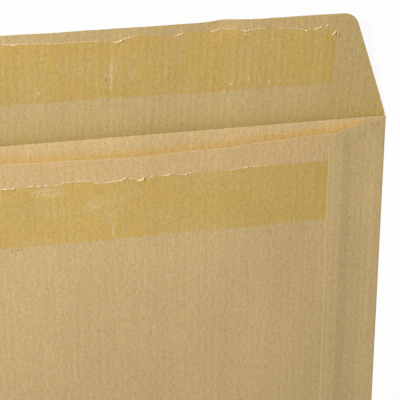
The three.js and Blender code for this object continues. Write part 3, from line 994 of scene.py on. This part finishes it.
BACK_CURLS = [
    [(-59.0, 102.3, 0.05), (-56.0, 102.5, 0.16), (-53.4, 102.3, 0.06)],
    [(-50.0, 102.6, 0.05), (-47.0, 102.3, 0.12), (-45.8, 102.6, 0.05)],
    [
        (-44.4, 102.4, 0.08), (-42.6, 102.4, 0.16), (-41.2, 102.5, 0.1), (-40.3, 102.3, 0.2),
        (-39.3, 102.9, 0.06),
    ],
    [(-36.5, 102.6, 0.05), (-35.0, 102.6, 0.12), (-33.6, 103.1, 0.05)],
    [(-33.4, 102.7, 0.05), (-32.6, 102.5, 0.16), (-31.8, 102.7, 0.06)],
    [(-31.0, 102.7, 0.05), (-30.2, 102.6, 0.15), (-29.4, 102.8, 0.05)],
    [(-28.0, 102.5, 0.05), (-27.2, 102.5, 0.14), (-26.4, 102.8, 0.05)],
    [
        (-26.1, 102.6, 0.05), (-25.5, 103.0, 0.17), (-24.3, 103.3, 0.08), (-21.6, 103.2, 0.07),
        (-18.4, 103.3, 0.05),
    ],
    [(-20.4, 103.1, 0.05), (-19.9, 103.2, 0.12), (-19.3, 103.3, 0.05)],
    [(-18.4, 103.0, 0.05), (-17.6, 103.0, 0.1), (-16.9, 103.0, 0.05)],
    [(-15.6, 102.2, 0.05), (-14.1, 102.1, 0.1), (-12.6, 102.2, 0.07)],
    [
        (-12.6, 102.1, 0.08), (-11.0, 102.1, 0.17), (-9.4, 102.3, 0.16), (-8.0, 102.3, 0.15),
        (-6.6, 102.4, 0.16), (-5.6, 103.0, 0.23), (-4.7, 103.6, 0.07),
    ],
    [(-4.6, 103.2, 0.05), (-3.7, 102.8, 0.1), (-2.8, 102.7, 0.06)],
    [
        (-2.6, 102.6, 0.06), (-1.7, 102.0, 0.16), (-0.7, 101.9, 0.26), (0.1, 102.4, 0.32),
        (0.6, 103.1, 0.2), (0.9, 103.6, 0.05),
    ],
    [(2.0, 102.5, 0.05), (2.8, 102.7, 0.14), (3.6, 103.1, 0.05)],
    [(5.2, 102.7, 0.06), (7.2, 102.8, 0.12), (8.6, 103.0, 0.16), (9.5, 103.5, 0.06)],
    [
        (12.0, 102.5, 0.05), (13.2, 102.6, 0.08), (13.9, 102.6, 0.18), (14.6, 102.8, 0.08),
        (15.6, 102.9, 0.15), (16.6, 103.2, 0.05),
    ],
    [
        (26.2, 102.6, 0.05), (28.8, 102.7, 0.09), (30.6, 102.8, 0.06), (32.6, 102.8, 0.08),
        (33.3, 103.0, 0.22), (34.1, 103.1, 0.07),
    ],
    [(34.6, 102.9, 0.05), (36.5, 102.9, 0.09), (38.5, 102.8, 0.07), (40.9, 102.7, 0.05)],
]

# The curls' section, as turns in degrees, and how finely they are divided
CURL_SCALE = 1.5
CURL_UNEVEN = 0.4
CURL_START = -80
CURL_END = 215
CURL_SIDES = 9
CURL_STEP = 0.18
CURL_SKINS = (1.0, 0.72)


def film_curls(name, surface, up, v_of, curls, material):
    """Curled lips of lifted film: each rolls up from the paper and over the strip."""
    turn = np.radians(np.linspace(CURL_START, CURL_END, CURL_SIDES))
    all_points, all_places, faces = [], [], []
    count = 0
    for number, curl in enumerate(curls):
        knots = np.array(curl)
        steps = max(int(np.ptp(knots[:, 0]) / CURL_STEP), 6)
        where = np.linspace(0, len(knots) - 1, steps)
        x, along, radius = (np.interp(where, range(len(knots)), knots[:, i]) for i in range(3))
        wobble = np.sin(5.3 * x + number) * 0.5 + np.sin(9.1 * x + 2 * number) * 0.5
        radius = CURL_SCALE * radius * (1 + CURL_UNEVEN * wobble)
        along = along + 0.05 * wobble
        points, inside = surface(x, along)
        outward = inside * up
        shift = np.array([0.0, 1.0, 0.0]) - outward * outward[:, 1:2]
        for skin in CURL_SKINS:
            size = (radius * skin)[:, None, None]
            raised = points + outward * (HALF_PAPER + FILM_GAP + FILM_THICKNESS / 2)
            centre = raised[:, None, :] + outward[:, None, :] * radius[:, None, None]
            ring = np.cos(turn)[None, :, None] * shift[:, None, :]
            ring = ring + np.sin(turn)[None, :, None] * outward[:, None, :]
            all_points.append((centre + size * ring).reshape(-1, 3))
            v = v_of(along)[:, None] + radius[:, None] * turn[None, :]
            all_places.append(np.stack([np.repeat(x[:, None], len(turn), 1), v], -1).reshape(-1, 2))
        outer = count + np.arange(steps * len(turn)).reshape(steps, -1)
        inner = outer + steps * len(turn)
        faces += [tuple(reversed(face)) for face in grid_faces(outer)] + grid_faces(inner)
        faces += grid_faces(np.stack([outer[:, 0], inner[:, 0]], -1)[:, ::-1])
        faces += grid_faces(np.stack([outer[:, -1], inner[:, -1]], -1))
        faces += grid_faces(np.stack([outer[0], inner[0]], -1))
        faces += grid_faces(np.stack([outer[-1], inner[-1]], -1)[:, ::-1])
        count = inner.max() + 1
    points = np.concatenate(all_points)
    return make_piece(name, points, faces, np.concatenate(all_places), {}, material)


# Dark flecks: place across and along, radius, and the panel that each lies in
FLECKS = [
    (69.7, 80.2, 0.34, "side"), (66.4, 26.8, 0.3, "flap"),
    (-10.8, 22.2, 0.26, "flap"), (-41.7, 80.9, 0.24, "back"),
    (-39.8, 81.3, 0.24, "back"), (-30.5, 18.2, 0.18, "back"),
    (44.0, -22.0, 0.24, "back"), (12.0, -71.0, 0.28, "back"),
    (-71.5, 20.0, 0.24, "side"), (-55.0, 9.0, 0.24, "flap"),
    (72.0, -48.0, 0.22, "side"), (-22.0, -40.0, 0.2, "back"),
]
FLECK_SIDES = 9
FLECK_NARROW = 0.8
FLECK_TOP = 0.6
FLECK_SINK = 0.01
FLECK_LIFT = 0.035


def bark_flecks(material):
    """Flat dark flecks in the face of the paper."""
    points, places, faces = [], [], []
    sides = FLECK_SIDES
    for number, (x, along, radius, kind) in enumerate(FLECKS):
        turn = np.linspace(0, 2 * math.pi, sides, endpoint=False)
        uneven = 1 + 0.3 * np.sin(2 * turn + number) + 0.12 * np.sin(3 * turn + 2 * number)
        rim_x = x + FLECK_NARROW * radius * uneven * np.cos(turn)
        rim_along = along + radius * uneven * np.sin(turn)
        ring_x = np.concatenate([rim_x, x + (rim_x - x) * FLECK_TOP, [x]])
        ring_along = np.concatenate([rim_along, along + (rim_along - along) * FLECK_TOP, [along]])
        if kind == "flap":
            middle, inside = closing_flap_places(ring_x, ring_along)
            outward = inside
        else:
            height = side_flap_height if kind == "side" else back_height
            middle, inside = upper_layer(ring_x, ring_along, height)
            outward = -inside
        lift = np.concatenate([np.full(sides, -FLECK_SINK), np.full(sides + 1, FLECK_LIFT)])
        lift += HALF_PAPER + rib_height(ring_x) * (1 if kind != "flap" else -1)
        if kind != "side":
            lift += FILM_GAP + FILM_THICKNESS
        first = len(points) * (2 * sides + 1)
        points.append(middle + outward * lift[:, None])
        places.append(np.stack([ring_x, ring_along], -1))
        for i in range(sides):
            j = (i + 1) % sides
            faces.append((first + i, first + j, first + sides + j, first + sides + i))
            faces.append((first + sides + i, first + sides + j, first + 2 * sides))
        faces.append(tuple(first + i for i in reversed(range(sides))))
    return make_piece("bark_flecks", np.concatenate(points), faces, np.concatenate(places), {}, material)


# The stage


def seen_by_camera(tree):
    """1 for what the camera sees, also by a reflection or through something, and 0 for light."""
    path = tree.add("ShaderNodeLightPath").outputs
    seen = tree.math("MAXIMUM", path["Is Camera Ray"], path["Is Glossy Ray"])
    return tree.math("MAXIMUM", seen, path["Is Transmission Ray"])


def add_world():
    """White for the camera, and a plain soft light for the object."""
    world = bpy.data.worlds.new("white")
    scene.world = world
    world.use_nodes = True
    tree = Tree(world.node_tree)
    background = world.node_tree.nodes["Background"]
    seen = seen_by_camera(tree)
    tree.put(background.inputs["Strength"], tree.ramp(seen, 0.0, 1.0, FILL_LIGHT, 1.0))
    tree.put(background.inputs["Color"], tree.mix(seen, FILL_COLOUR, WHITE))


def add_floor():
    """A pale floor that looks nearly white and keeps a faint soft shadow."""
    material, tree, shader = new_material("floor")
    shader.inputs["Base Color"].default_value = FLOOR_GREY
    shader.inputs["Roughness"].default_value = 0.9
    glow = tree.add("ShaderNodeEmission", {"Color": WHITE, "Strength": 1.0})
    share = tree.math("MULTIPLY", seen_by_camera(tree), FLOOR_GLOW)
    mixed = tree.add("ShaderNodeMixShader", {0: share})
    tree.put(mixed.inputs[1], shader.outputs[0])
    tree.put(mixed.inputs[2], glow.outputs[0])
    output = material.node_tree.nodes["Material Output"]
    tree.put(output.inputs["Surface"], mixed.outputs[0])
    half = FLOOR_HALF_WIDTH
    mesh = bpy.data.meshes.new("floor")
    corners = [(-half, -half, 0), (half, -half, 0), (half, half, 0), (-half, half, 0)]
    mesh.from_pydata(corners, [], [(0, 1, 2, 3)])
    mesh.materials.append(material)
    floor = bpy.data.objects.new("floor", mesh)
    floor.location.z = -FLOOR_DROP
    scene.collection.objects.link(floor)


add_camera()
add_world()
add_key_lamp()
add_floor()

paper_piece = folded_paper(kraft_material())
flap_film = latex_film(
    "flap_latex_film", closing_flap_places, 1, FLAP_STRIP_TOP, FLAP_STRIP_BOTTOM, flap_v,
    latex_material("flap latex", FLAP_WORN, flap_v),
)
back_film = latex_film(
    "back_latex_film", back_surface, -1, BACK_STRIP_TOP, BACK_STRIP_BOTTOM, back_v,
    latex_material("back latex", BACK_WORN, back_v),
)
lifted = curl_material()
flap_curls = film_curls("flap_film_curls", closing_flap_places, 1, flap_v, FLAP_CURLS, lifted)
back_curls = film_curls("back_film_curls", back_surface, -1, back_v, BACK_CURLS, lifted)
flecks = bark_flecks(bark_material())

for piece in (paper_piece, flap_film, back_film, flap_curls, back_curls, flecks):
    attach(piece, "root")
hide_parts("envelope_sheet")
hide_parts("flap_seal_strip")
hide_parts("back_seal_strip")
